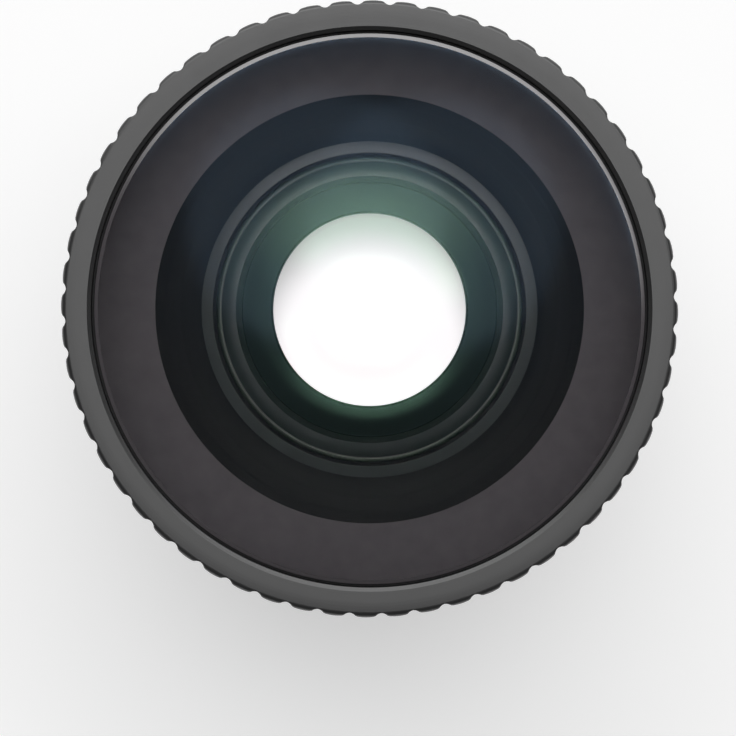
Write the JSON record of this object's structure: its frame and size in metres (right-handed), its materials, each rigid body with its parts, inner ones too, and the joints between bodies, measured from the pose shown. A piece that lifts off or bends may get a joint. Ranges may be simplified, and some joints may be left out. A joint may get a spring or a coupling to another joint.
{
  "type": "add-on camera lens",
  "caption": "Round ultra-wide add-on lens for a phone: knurled front ring over domed front glass, flared barrel, and a short base with a rear screw thread.",
  "frame": {"origin": "on the optical axis, in the plane of the rear thread's end, on which the lens stands", "axes": "+Z along the optical axis towards the front glass; +X and +Y across it"},
  "size_m": [0.036, 0.036, 0.0249],
  "materials": {
    "grip_ring_grey": "fine matte bead-blasted, dark grey anodised",
    "barrel_black": "satin black anodised, turned",
    "mount_black": "satin black anodised, turned face and thread",
    "baffle_black": "dead matte black",
    "inner_ring_grey": "matte black anodised, turned",
    "coated_glass": "polished optical glass with a green coating",
    "seal_rubber": "matte black",
    "washer_plastic": "smooth black nylon",
    "shim_brass": "plain stamped",
    "black_film": "matte black film",
    "black_steel": "black oxide"
  },
  "bodies": {
    "base": {"base_barrel": "barrel_black", "mount_ring": "mount_black", "mount_screws": "black_steel", "exit_baffle": "baffle_black", "rear_seal": "seal_rubber", "rear_flint_element": "coated_glass", "rear_crown_element": "coated_glass", "rear_retaining_ring": "inner_ring_grey"},
    "washer": {"joint_washer": "washer_plastic"},
    "wide_section": {"wide_barrel": "barrel_black", "second_shim": "shim_brass", "light_baffle": "black_film", "second_element": "coated_glass", "second_retaining_ring": "inner_ring_grey", "spacer_ring": "baffle_black", "front_gasket": "seal_rubber", "front_element": "coated_glass", "front_seal": "seal_rubber", "knurled_ring": "grip_ring_grey", "ring_grub_screws": "black_steel"}
  },
  "joints": [
    {"name": "unscrew_turn", "type": "hinge", "parent": "base", "child": "washer", "pos_m": [0, 0, 0.0093], "axis": [0, 0, 1], "range_deg": [0, 1440]},
    {"name": "unscrew_lift", "type": "slide", "parent": "washer", "child": "wide_section", "axis": [0, 0, 1], "range_m": [0, 0.003]}
  ],
  "couplings": [
    {"joint": "unscrew_lift", "follows": "unscrew_turn", "m_per_rad": 0.00011937}
  ]
}
